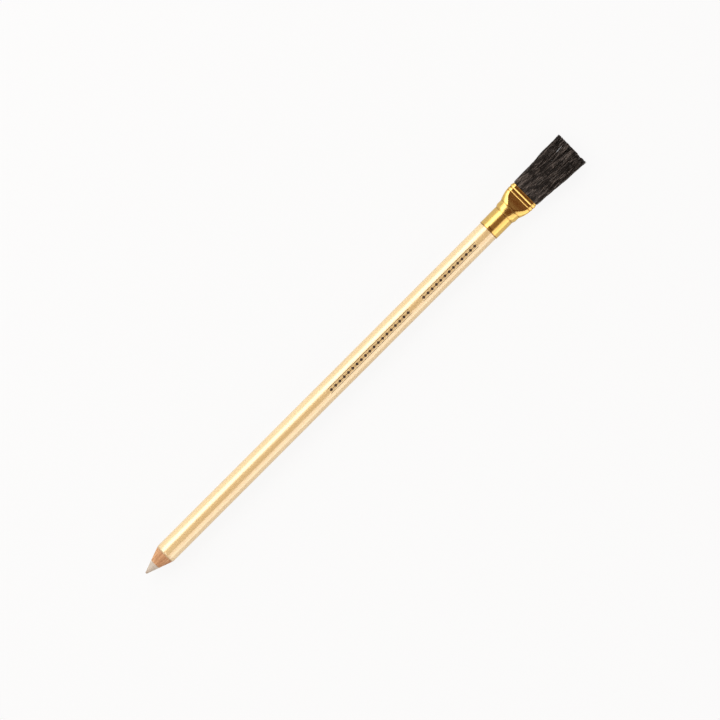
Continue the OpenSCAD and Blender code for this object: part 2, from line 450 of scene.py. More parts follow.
@dataclass(frozen=True)
class EraserRubber(Finish):
    """Pale grey gritty rubber, soiled at its point."""

    clean: Colour = (0.56, 0.50, 0.42)
    soiled: Colour = (0.40, 0.305, 0.235)
    speck: Colour = (0.36, 0.34, 0.32)
    soiled_mm: Pair = (0.8, 3.0)
    relief: float = 0.04 * MM
    tip_x: float = 0.0

    def paint(self, tree: ShadeTree) -> None:
        """Fine grit all over, and smudges that grow towards the point."""
        grit = tree.noise((7.0, 7.0, 7.0), roughness=0.7)
        smudge = tree.noise((0.5, 1.6, 1.6))
        from_tip = tree.axis_place(0) - self.tip_x / MM + smudge * 2.0
        near = 1.0 - from_tip.step(*self.soiled_mm)
        body = tree.mix(grit.step(0.56, 0.75) * 0.35, self.clean, self.speck)
        tree.set(Base_Color=tree.mix(near * 0.85, body, self.soiled), Roughness=0.6 + grit * 0.25)
        tree.bump(grit, self.relief)


@dataclass(frozen=True)
class PressedBrass(Finish):
    """Bright drawn brass, lightly scratched, with patina and painted shade in its creases and
    grooves, and painted shade at its rims and dents.
    """

    bright: Colour = (0.82, 0.565, 0.172)
    patina_and_shade_colour: Colour = (0.28, 0.110, 0.026)
    relief: float = 0.008 * MM

    def paint(self, tree: ShadeTree) -> None:
        """Drawn lines along the tube, faint blotches, and the patina and painted shade that the
        mesh holds.
        """
        lines = tree.noise((0.25, 8.0, 8.0), roughness=0.6)
        blotches = tree.noise((0.35, 0.5, 0.5))
        hollow = tree.attribute("hollow")
        # The attribute is patina and painted shade: patina and painted shade in creases and
        # grooves, painted shade at the rims, inside and dents
        tone = (blotches.step(0.5, 0.8) * 0.22 + hollow * 0.9).math("MINIMUM", 1.0)
        tree.set(
            Base_Color=tree.mix(tone, self.bright, self.patina_and_shade_colour),
            Metallic=1.0,
            Roughness=0.17 + lines * 0.10 + hollow * 0.06,
        )
        tree.bump(lines, self.relief)


@dataclass(frozen=True)
class BristleHair(Finish):
    """Black-brown bristle in which some strands are paler."""

    dark: Colour = (0.0135, 0.0102, 0.0080)
    pale: Colour = (0.310, 0.268, 0.240)

    def paint(self, tree: ShadeTree) -> None:
        """A tone for each strand, paler patches along its length that are painted sheen, and a
        paler tip.
        """
        strand = tree.attribute("tone")
        along = tree.attribute("along")
        # Painted sheen: paler patches along the strands stand in for the gloss on clumps of bristle
        painted_sheen = tree.noise((0.22, 1.3, 1.3), roughness=0.6, bend=1.4).step(0.46, 0.70)
        tone = painted_sheen * 0.6 + painted_sheen * strand * 0.4 + strand.step(0.75, 1.0) * 0.2
        tree.set(
            Base_Color=tree.mix(tone + along.step(0.94, 1.0) * 0.1, self.dark, self.pale),
            Roughness=0.36 + strand * 0.16,
            IOR=1.38,
        )


@dataclass(frozen=True)
class StampInk(Finish):
    """Dark brown stamping colour, thin and rubbed in places."""

    dense: Colour = (0.030, 0.016, 0.008)
    rubbed: Colour = (0.26, 0.150, 0.062)

    def paint(self, tree: ShadeTree) -> None:
        """Rubbed spots that follow the wood's grain a little."""
        spots = tree.noise((1.1, 3.0, 3.0), detail=4.0, roughness=0.65).step(0.5, 0.78)
        colour = tree.mix(spots * 0.8, self.dense, self.rubbed)
        tree.set(Base_Color=colour, Roughness=0.34 + spots * 0.2)


@dataclass(frozen=True)
class PlainSet(Finish):
    """Something that was poured or spread and has set: one colour with faint clouds."""

    low: Colour
    high: Colour
    roughness: float
    relief: float = 0.02 * MM

    def paint(self, tree: ShadeTree) -> None:
        """Clouds of two tones, with roughness that follows them."""
        clouds = tree.noise((1.2, 2.5, 2.5))
        colour = tree.mix(clouds.step(0.3, 0.7), self.low, self.high)
        tree.set(Base_Color=colour, Roughness=self.roughness + clouds * 0.15)
        tree.bump(clouds, self.relief)


# Sub-assemblies


@dataclass(frozen=True)
class Layout:
    """Main places and radii of the object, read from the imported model."""

    axis_z: float
    barrel_r: float
    wood_r: float
    core_r: float
    tip_x: float
    edge_x: float
    lacquer_end_x: float
    tenon_end_x: float
    ferrule_x: float
    mouth_x: float
    tuft_end_x: float

    @classmethod
    def from_frame(cls) -> "Layout":
        """Reads the barrel's mount and the boxes of the nodes.

        Returns:
            The places and radii.
        """
        mounts = frame["record"]["mounts"]
        barrel = next(mount for mount in mounts if mount["name"] == "barrel")
        middle, half = barrel["pos_m"][0], barrel["dims"]["length_mm"] * MM / 2
        core, wood, tube = map(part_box, ("eraser_core", "barrel_half_upper", "ferrule"))
        return cls(
            axis_z=barrel["pos_m"][2],
            barrel_r=barrel["dims"]["r_mm"] * MM,
            wood_r=wood[1].y,
            core_r=core[1].y,
            tip_x=core[0].x,
            edge_x=middle - half,
            lacquer_end_x=middle + half,
            tenon_end_x=core[1].x,
            ferrule_x=tube[0].x,
            mouth_x=tube[1].x,
            tuft_end_x=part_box("bristle_tuft")[1].x,
        )


class Half(Enum):
    """The two slats of the barrel, by the angle from +Y at which each one starts."""

    UPPER = 0.0
    LOWER = math.pi


@dataclass
class Barrel:
    """Lacquered wooden barrel, sharpened to a cone round its eraser core."""

    place: Layout
    sides: int = 192
    point_r: float = 0.40 * MM
    point_bulge: float = 0.30 * MM
    glue_t: float = 0.10 * MM
    tenon_r: float = 3.54 * MM
    core_room: float = 0.015 * MM

    edge_round: float = 0.05 * MM
    edge_steps: int = 5
    cut_share: float = 0.6
    edge_wander: float = 0.06 * MM
    edge_waves: Waves = Waves(seed=5, count=6, low=0.0, high=1.0)
    edge_turns: int = 5
    run_inset: float = 0.5 * MM
    run_rings: int = 180
    home_rings: int = 24
    surface_ripple: float = 0.006 * MM
    surface_waves: Waves = Waves(seed=3, count=9, low=12.0, high=70.0)
    surface_in: float = 4 * MM

    slat_columns: int = 96
    slat_rings: int = 90
    slat_edge: float = 0.001 * MM
    knife_pitch: float = 0.42 * MM
    knife_depth: float = 0.012 * MM
    knife_skew: float = 0.7
    knife_fade: Pair = (0.08, 0.04)

    nose_rings: int = 9
    nose_start_deg: float = 8.0
    core_rings: int = 60
    rub_l: float = 2.2 * MM
    rub_angle: float = 0.9
    rub_share: float = 0.22
    crumb_h: float = 0.012 * MM
    crumb_waves: Waves = Waves(seed=8, count=24, low=300.0, high=2200.0)
    crumb_turns: int = 4
    crumb_fade: float = 0.3 * MM

    def cone_x(self, radius: Union[float, Array]) -> Union[float, Array]:
        """Place on the sharpened cone where it has a radius: a straight line from point to edge."""
        start = self.place.tip_x + self.point_bulge
        rise = (radius - self.point_r) / (self.place.barrel_r - self.point_r)
        return start + (self.place.edge_x - start) * rise

    def cone_r(self, x: Array) -> Array:
        """Radius of the sharpened cone at a place, the inverse of cone_x."""
        start = self.place.tip_x + self.point_bulge
        rise = (x - start) / (self.place.edge_x - start)
        return self.point_r + rise * (self.place.barrel_r - self.point_r)

    def lacquer(self) -> Piece:
        """Skin of the barrel.

        A closed outline of place and radius is turned round the axis: up the cut edge, along the
        outside, and home along the wood. A faint ripple runs over the outside, and the cut edge
        wanders a little as it goes round.

        Returns:
            The piece.
        """
        here, turn = self.place, full_turn(self.sides)
        run_start, end_x = here.edge_x + self.run_inset, here.lacquer_end_x
        corner = np.radians(np.linspace(0, 90, self.edge_steps))
        cut = self.edge_round * (1 - np.sin(corner)) * self.cut_share
        cut_x = here.edge_x + self.edge_round * np.sin(corner)
        run_x = np.linspace(run_start, end_x - self.run_inset, self.run_rings)
        back_x = end_x - self.edge_round * (1 - np.sin(corner))
        back_r = here.barrel_r - self.edge_round * (1 - np.cos(corner))
        home_x = np.linspace(end_x, run_start, self.home_rings)
        x = np.concatenate([[self.cone_x(here.wood_r)], cut_x, run_x, back_x, home_x])
        plain_r = np.full_like(run_x, here.barrel_r)
        outside = np.concatenate([[here.wood_r], here.barrel_r - cut, plain_r, back_r])
        radius = np.concatenate([outside, np.full_like(home_x, here.wood_r)])
        rippled = smooth(here.edge_x, here.edge_x + self.surface_in, x)
        rippled = rippled * (np.arange(len(x)) < len(outside))
        waves = self.surface_waves.over(x, turn) * rippled[:, None] * self.surface_ripple
        wander = self.edge_waves.over(x * 0, turn * self.edge_turns)
        wander = wander * (x < run_start)[:, None]
        place_x = x[:, None] + self.edge_wander * wander
        points = turned(place_x, radius[:, None] + waves, turn, here.axis_z)
        faces = [ring_faces(len(x), self.sides, True)]
        coat = PearlLacquer("pearl_lacquer", edge_x=here.edge_x)
        return make_piece("lacquer_skin", points, faces, coat.material())

    def slat(self, half: Half, material: Material) -> Piece:
        """One wooden half of the barrel.

        Each section is a half ring: an outer arc out and an inner arc home, both ended by the glue
        plane. The sections follow the cone, then the wood under the lacquer, then the tenon.
        Shallow knife marks run round the cone.

        Args:
            half: Which half of the barrel.
            material: Finish of the wood.

        Returns:
            The piece.
        """
        here, inner, count = self.place, self.place.core_r + self.core_room, self.slat_columns
        cone = np.linspace(self.cone_x(inner), self.cone_x(here.wood_r), self.slat_rings)
        x = np.concatenate([cone, [here.ferrule_x, here.ferrule_x, here.tenon_end_x]])
        tail_r = [here.wood_r, self.tenon_r, self.tenon_r]
        share = np.linspace(0, 1, count)
        phase = cone[:, None] / self.knife_pitch + self.knife_skew * share
        marks = np.sin(2 * np.pi * phase) * self.knife_depth
        for fade, way in zip(self.knife_fade, (cone - cone[0], cone[-1] - cone)):
            marks = marks * smooth(0, fade, way / (cone[-1] - cone[0]))[:, None]
        cone_r = self.cone_r(cone)[:, None] + marks
        outer_r = np.concatenate([cone_r, np.outer(tail_r, np.ones_like(share))])
        outer_r = np.maximum(outer_r, inner + self.slat_edge)
        arcs = [(outer_r, share), (np.full_like(outer_r, inner), share[::-1])]
        points = np.concatenate([self.arc(x[:, None], *arc, half) for arc in arcs], axis=1)
        cols, k = 2 * count, np.arange(count - 1)
        front = np.stack([cols - 1 - k, cols - 2 - k, k + 1, k], axis=-1)
        back = front[:, ::-1] + (len(x) - 1) * cols
        faces = [ring_faces(len(x), cols), front, back]
        return make_piece("slat_" + half.name.lower(), points, faces, material)

    def arc(self, x: Array, radius: Array, share: Array, half: Half) -> Array:
        """Points on half rings that stop short of the glue plane.

        Args:
            x: Place of each row.
            radius: Radius at each row and column.
            share: Part of the arc at each column, from 0 to 1.
            half: Which half of the barrel.

        Returns:
            Points of each row and column.
        """
        short = np.arcsin(self.glue_t / 2 / radius)
        angle = half.value + short + share * (np.pi - 2 * short)
        return turned(x, radius, angle, self.place.axis_z)

    def core(self) -> Piece:
        """Eraser rod with its worn point.

        An outline of place and radius is turned round the axis: a quarter of an ellipse at the
        point, the cone, and the straight rod. One side of the point is rubbed down, and small
        crumbs roughen what shows.

        Returns:
            The piece.
        """
        here, sides, shoulder_x = self.place, self.sides // 2, self.cone_x(self.place.core_r)
        turn = full_turn(sides)
        bulge = np.radians(np.linspace(self.nose_start_deg, 90, self.nose_rings))
        nose_x = here.tip_x + self.point_bulge * (1 - np.cos(bulge))
        cone = np.linspace(here.tip_x + self.point_bulge, shoulder_x, self.core_rings)[1:]
        x = np.concatenate([nose_x, cone, [here.tenon_end_x]])
        radius = np.concatenate([self.point_r * np.sin(bulge), self.cone_r(cone), [here.core_r]])
        shown = 1 - smooth(shoulder_x - self.crumb_fade, shoulder_x, x)
        near_tip = 1 - smooth(here.tip_x, here.tip_x + self.rub_l, x)
        facing = np.maximum(0, np.cos(turn - self.rub_angle)) ** 2
        rubbed = facing * near_tip[:, None] * self.rub_share
        crumbs = self.crumb_waves.over(x, turn * self.crumb_turns) * shown[:, None] * self.crumb_h
        crumbs = crumbs * smooth(0, self.crumb_fade, radius)[:, None]
        full_r = radius[:, None] * (1 - rubbed) + crumbs
        points = turned(x[:, None], full_r, turn, here.axis_z).reshape(-1, 3)
        poles = np.array([[end, 0, here.axis_z] for end in (here.tip_x, here.tenon_end_x)])
        rubber, faces = EraserRubber("eraser_rubber", tip_x=here.tip_x), capped_faces(len(x), sides)
        return make_piece("eraser_rod", np.concatenate([points, poles]), faces, rubber.material())

    def build(self) -> None:
        """Makes the barrel's pieces and dresses them and its two glue strips."""
        wood = CedarWood("cedar_wood").material()
        seat(self.lacquer(), "lacquer_coat")
        seat(self.slat(Half.UPPER, wood), "barrel_half_upper")
        seat(self.slat(Half.LOWER, wood), "barrel_half_lower")
        seat(self.core(), "eraser_core")
        glue = PlainSet("wood_glue", (0.55, 0.40, 0.22), (0.70, 0.55, 0.34), roughness=0.5)
        dress_node("slat_glue", glue.material())


class Mark(Enum):
    """Shapes of the stamped marks, by the power that bends their outline."""

    RULE = 0.2
    DOT = 1.0
    LOZENGE = 2.2


@dataclass
class StampedBorder:
    """Plain stamped ornament on the barrel: chains of lozenges and dots between thin rules."""

    place: Layout
    panels: tuple[Pair, ...] = ((-14.7 * MM, 24.3 * MM), (29.7 * MM, 56.3 * MM))
    lozenges: tuple[int, ...] = (19, 13)
    middle: float = -0.47 * MM
    rule_out: float = 0.98 * MM
    rule_half: float = 0.07 * MM
    lozenge_half: Pair = (0.80 * MM, 0.62 * MM)
    dot_half: float = 0.16 * MM
    lift: float = 0.02 * MM
    depth: float = 0.03 * MM
    inner_ring: float = 0.5
    columns: int = 20

    def marks(self) -> Array:
        """All marks of the panels.

        Returns:
            One row a mark: place along the barrel, place round it, half its length, half its
            width, and the power of its outline.
        """
        rows = []
        dot = (self.dot_half, self.dot_half, Mark.DOT.value)
        for (start, end), count in zip(self.panels, self.lozenges):
            step, length = (end - start) / count, (end - start) / 2
            first = start + step * (np.arange(count) + 0.5)
            between = start + step * np.arange(1, count)
            rule = (length, self.rule_half, Mark.RULE.value)
            rows += [(x, 0.0, *self.lozenge_half, Mark.LOZENGE.value) for x in first]
            rows += [(x, 0.0, *dot) for x in between]
            rows += [(start + length, way * self.rule_out, *rule) for way in (-1, 1)]
        return np.array(rows)

    def build(self) -> None:
        """Makes the marks as one piece.

        A mark is a disc of rings on the unrolled barrel: x = a c |c|^(p - 1), s = b d |d|^(p - 1)
        for the cosine c and sine d of the angle round it, times the size of the ring. The sheet
        is rolled onto the barrel, and a short wall closes each mark below.
        """
        here, cols = self.place, self.columns
        x, round_s, half_x, half_s, power = self.marks().T[..., None]
        top, foot = here.barrel_r + self.lift, here.barrel_r - self.depth
        # Inner ring, rim and foot, then the two middles that close the mark
        size = np.repeat([self.inner_ring, 1, 1, 0], [cols, cols, cols, 2])
        height = np.repeat([top, foot, top, foot], [2 * cols, cols, 1, 1])
        turn = np.resize(full_turn(cols), len(size))
        along = x + size * half_x * signed_power(np.cos(turn), power)
        across = round_s + size * half_s * signed_power(np.sin(turn), power)
        angle = (across + self.middle) / here.barrel_r
        rise = here.axis_z + height * np.cos(angle)
        points = spread_points(along, height * np.sin(angle), rise)
        rim, last = np.arange(cols), len(size) - 2
        ends = [pole_faces(rim, last, True), pole_faces(rim + last - cols, last + 1, False)]
        walls = ring_faces(last // cols, cols)[:, ::-1]
        faces = repeated([walls, np.concatenate(ends)], len(x), len(size))
        border = make_piece("stamped_border", points, faces, StampInk("stamp_ink").material())
        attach(border, "handle")


@dataclass
class Ferrule:
    """Brass tube that is round on the wood, flares, and is pressed flat round the bristles."""

    place: Layout
    columns: int = 288
    wall: float = 0.35 * MM
    sheet_r: float = 3.775 * MM
    skirt_l: float = 7.5 * MM
    collar_l: float = 1.3 * MM
    collar_share: float = 0.25
    flare_in: float = 2.7 * MM
    flare_power: float = 1.6
    flat_power: float = 2.18
    flat_in: Pair = (0.0, 0.2)
    flat_out: Pair = (0.7, 1.0)
    crown_t: float = 3.75 * MM
    mouth_t: float = 2.4 * MM
    facet_l: float = 4.1 * MM
    facet_round: float = 0.10 * MM
    facet_ease: Pair = (0.25, 0.30)
    bead_w: float = 1.35 * MM
    bead_h: Pair = (0.125 * MM, 0.20 * MM)
    lip_l: float = 0.35 * MM
    crease_w: float = 0.8 * MM
    crease_h: float = 0.08 * MM
    creases: Pair = (0.0, 3.1 * MM)
    rim_round: float = 0.08 * MM
    rim_steps: int = 9

    # Painted darkening of the brass: a painted shadow along the rim by the lacquer, painted shade
    # at the mouth, and patina and painted shade in the creases and bead grooves
    rim_shadow_l: float = 0.4 * MM
    mouth_painted_shade: float = 0.45
    crease_patina_and_shade: float = 0.6
    bead_shade_fade: float = 2.6
    bead_shade_in: float = 0.2 * MM

    stake_in: float = 0.95 * MM
    stake_depth: float = 0.07 * MM
    stake_l: float = 0.34 * MM
    stake_w: float = 0.75 * MM
    press_size: float = 0.0028
    press_shift: float = 2.0
    press_waves: Waves = Waves(seed=13, count=14, low=60.0, high=240.0)
    run_rings: tuple[int, ...] = (40, 20, 64, 64)
    home_rings: int = 60
    plug_rings: int = 24
    resin_room: float = 0.05 * MM

    @property
    def flare_x(self) -> float:
        """Place where the flare starts."""
        return self.place.ferrule_x + self.skirt_l

    @property
    def bead_x(self) -> float:
        """Place where the beads start and the facets end."""
        return self.place.mouth_x - self.lip_l - len(self.bead_h) * self.bead_w

    @property
    def mouth_sheet_r(self) -> float:
        """Half the thickness of the mouth, to the middle of its sheet."""
        return (self.mouth_t - self.wall) / 2

    @property
    def mouth_run(self) -> float:
        """Half the flat stretch at the mouth: the sheet keeps its length round the section."""
        return math.pi * (self.sheet_r - self.mouth_sheet_r) / 2

    @property
    def turn(self) -> Array:
        """Angles of a section's points, the first half a step from +Y."""
        return (np.arange(self.columns) + 0.5) / self.columns * 2 * np.pi

    def relief(self, x: Array) -> tuple[Array, Array]:
        """Beads and creases of the outside.

        Args:
            x: Places along the tube.

        Returns:
            Height over the plain sheet, and how dark each place is painted from 0 to 1: patina and
            painted shade in creases and grooves, and a painted shadow at the rim.
        """
        here = self.place
        phase = np.clip((x - self.bead_x) / self.bead_w, 0, len(self.bead_h))
        bead = np.sin(np.pi * phase) ** 2
        rise = np.take(self.bead_h, phase.astype(int), mode="clip") * bead
        from_crease = (x - self.flare_x - np.array(self.creases)[:, None]) / self.crease_w
        crease = (np.cos(np.pi * np.clip(from_crease, -0.5, 0.5)) ** 2).sum(0)
        # Patina and painted shade in the grooves between the beads, fading over the beads' tops
        beaded = (x > self.bead_x - self.bead_shade_in) & (x < here.mouth_x - self.lip_l)
        # Painted shadow along the rim, where the tube meets the lacquer
        rim = 1 - smooth(here.ferrule_x, here.ferrule_x + self.rim_shadow_l, x)
        grooves = np.where(beaded, np.clip(1 - self.bead_shade_fade * bead, 0, 1), 0)
        # Patina and painted shade in creases and grooves, joined below by the rim's painted shadow
        hollow = np.maximum(crease * self.crease_patina_and_shade, grooves)
        return rise - self.crease_h * crease, np.maximum(hollow, rim)

    def crown(self, x: Array) -> tuple[Array, Array, Array]:
        """Sizes of the widened tube before its facets are pressed.

        The width grows by an eased step to a slight collar, stays, and then grows as 1 - (1 - t)^q
        up to the beads. The height falls on one eased step over the whole flare.

        Args:
            x: Places along the tube.

        Returns:
            Half the width and half the height of the sheet, and the power of its section.
        """
        out, whole = x - self.flare_x, self.bead_x - self.flare_x
        grown = np.clip((out - self.flare_in) / (whole - self.flare_in), 0, 1)
        wide = self.collar_share * smooth(0, self.collar_l, out)
        wide += (1 - self.collar_share) * (1 - (1 - grown) ** self.flare_power)
        half_w = self.sheet_r + wide * (self.mouth_run + self.mouth_sheet_r - self.sheet_r)
        fall = (self.crown_t - self.wall) / 2 - self.sheet_r
        half_h = self.sheet_r + smooth(0, whole, out) * fall
        span = np.clip(out / whole, 0, 1)
        flat = smooth(*self.flat_in, span) * (1 - smooth(*self.flat_out, span))
        return half_w, half_h, 2 + (self.flat_power - 2) * flat

    def eased_fall(self, fall: Array) -> Array:
        """Facets' height, 0 at the beads and 1 at their start: a line eased out on a hyperbola."""
        turn, width = self.facet_ease
        height, low, high = (way - turn + np.hypot(way - turn, width) for way in (fall, 0.0, 1.0))
        return (height - low) / (high - low)

    def section(self, x: Array, offset: Array) -> Array:
        """Sections of the pressed tube.

        A section is a superellipse, |y / w|^p + |z / h|^p = 1, with the crown's sizes. Its power
        rises a little in the flare, so that the top is flatter. Two facets then cut it level:
        their height falls from the crown to the mouth, and a smooth minimum rounds their edges.

        Args:
            x: Places along the tube, one a section.
            offset: Distance of each section from the middle of the sheet, outwards.

        Returns:
            Points of every section, turning from +Y to +Z.
        """
        half_w, half_h, power = self.crown(x)
        facet_x, turn = self.bead_x - self.facet_l, self.turn
        top = self.crown(np.array([facet_x]))[1][0]
        fall = np.maximum(0, (self.bead_x - x) / self.facet_l)
        level = self.mouth_sheet_r + (top - self.mouth_sheet_r) * self.eased_fall(fall)
        clear_of_facets = half_h + 3 * self.facet_round
        level = np.where(x < facet_x, clear_of_facets, level + offset)[:, None]
        bend = (2 / power)[:, None]
        y = (half_w + offset)[:, None] * signed_power(np.cos(turn), bend)
        height = (half_h + offset)[:, None] * np.abs(np.sin(turn)) ** bend
        near = np.maximum(self.facet_round - np.abs(height - level), 0) / self.facet_round
        pressed = np.minimum(height, level) - near**2 * self.facet_round / 4
        z = self.place.axis_z + np.sign(np.sin(turn)) * pressed
        return spread_points(x[:, None], y, z)

    def plug(
        self, name: str, start: float, end: float, dome: float, room: float, finish: Finish
    ) -> Piece:
        """What fills the tube between two places, with a dome at its far end.

        Args:
            name: Name of the piece.
            start: Place of its near end.
            end: Place where its far end meets the tube.
            dome: How far its far end bulges on.
            room: Distance from the tube's inside.
            finish: Finish of the piece.

        Returns:
            The piece.
        """
        x = np.linspace(start, end, self.plug_rings)
        points = self.section(x, np.full_like(x, -self.wall / 2 - room)).reshape(-1, 3)
        poles = np.array([[pole, 0, self.place.axis_z] for pole in (start, end + dome)])
        faces = capped_faces(len(x), self.columns)
        return make_piece(name, np.concatenate([points, poles]), faces, finish.material())

    def stake(self, points: Array) -> Array:
        """Short dents in the top and the bottom of the skirt, each a bell curve.

        Args:
            points: Points of the tube.

        Returns:
            How far each point is pressed in, from 0 to 1.
        """
        along = (points[..., 0] - self.place.ferrule_x - self.stake_in) / self.stake_l
        across = points[..., 1] / self.stake_w
        height = points[..., 2] - self.place.axis_z
        return np.exp(-(along**2) - across**4) * (np.abs(height) > self.sheet_r / 2)

    def tube(self) -> Piece:
        """The tube as rings out along its outside and home along its inside.

        Faint waves over the outside shrink its sections here and there, as hand pressing does.

        Returns:
            The piece.
        """
        here, half = self.place, self.wall / 2
        edge = np.radians(np.linspace(-90, 90, self.rim_steps))
        start_x = here.ferrule_x + self.rim_round * (1 - np.cos(edge))
        end_x = here.mouth_x - self.rim_round * (1 - np.cos(edge))
        creased = [self.flare_x - self.crease_w, self.flare_x + self.crease_w]
        stops = [start_x[-1], *creased, self.bead_x, end_x[0]]
        runs = zip(stops, stops[1:], self.run_rings)
        out_x = np.concatenate([np.linspace(low, high, many)[1:] for low, high, many in runs])[:-1]
        home_x = np.linspace(end_x[-1], start_x[0], self.home_rings)[1:-1]
        height, hollow = self.relief(out_x)
        x = np.concatenate([start_x, out_x, end_x, home_x])
        inside, rim = np.ones_like(home_x), half * np.sin(edge)
        offset = np.concatenate([rim, half + height, rim[::-1], -half * inside])
        # Painted shade at the mouth's rim, where the bristles meet the brass
        mouth = np.full_like(edge, self.mouth_painted_shade)
        # Full painted shade on the rounded rim by the lacquer and on the inside of the tube
        row_patina_and_shade = np.concatenate([np.ones_like(edge), hollow, mouth, inside])
        points = self.section(x, offset)
        shown = np.arange(len(x)) < len(x) - len(home_x)
        press = self.press_waves.over(x, self.turn) - self.press_shift
        size = 1 + self.press_size * press * shown[:, None]
        points[..., 1] *= size
        points[..., 2] = here.axis_z + (points[..., 2] - here.axis_z) * size
        dent = self.stake(points)
        points[..., 2] -= np.sign(points[..., 2] - here.axis_z) * self.stake_depth * dent
        # The stake dents also get painted shade: a dark spot in each dent
        values = {"hollow": np.maximum(row_patina_and_shade[:, None], dent)}
        faces = [ring_faces(len(x), self.columns, True)]
        brass = PressedBrass("pressed_brass").material()
        return make_piece("brass_tube", points, faces, brass, values)

    def build(self) -> None:
        """Makes the tube and the resin that is set in it."""
        resin = PlainSet("set_resin", (0.10, 0.045, 0.012), (0.20, 0.10, 0.03), roughness=0.2)
        start, end = self.place.tenon_end_x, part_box("setting_resin")[1].x
        filled = self.plug("resin_plug", start, end, 0.0, self.resin_room, resin)
        seat(self.tube(), "ferrule")
        seat(filled, "setting_resin")


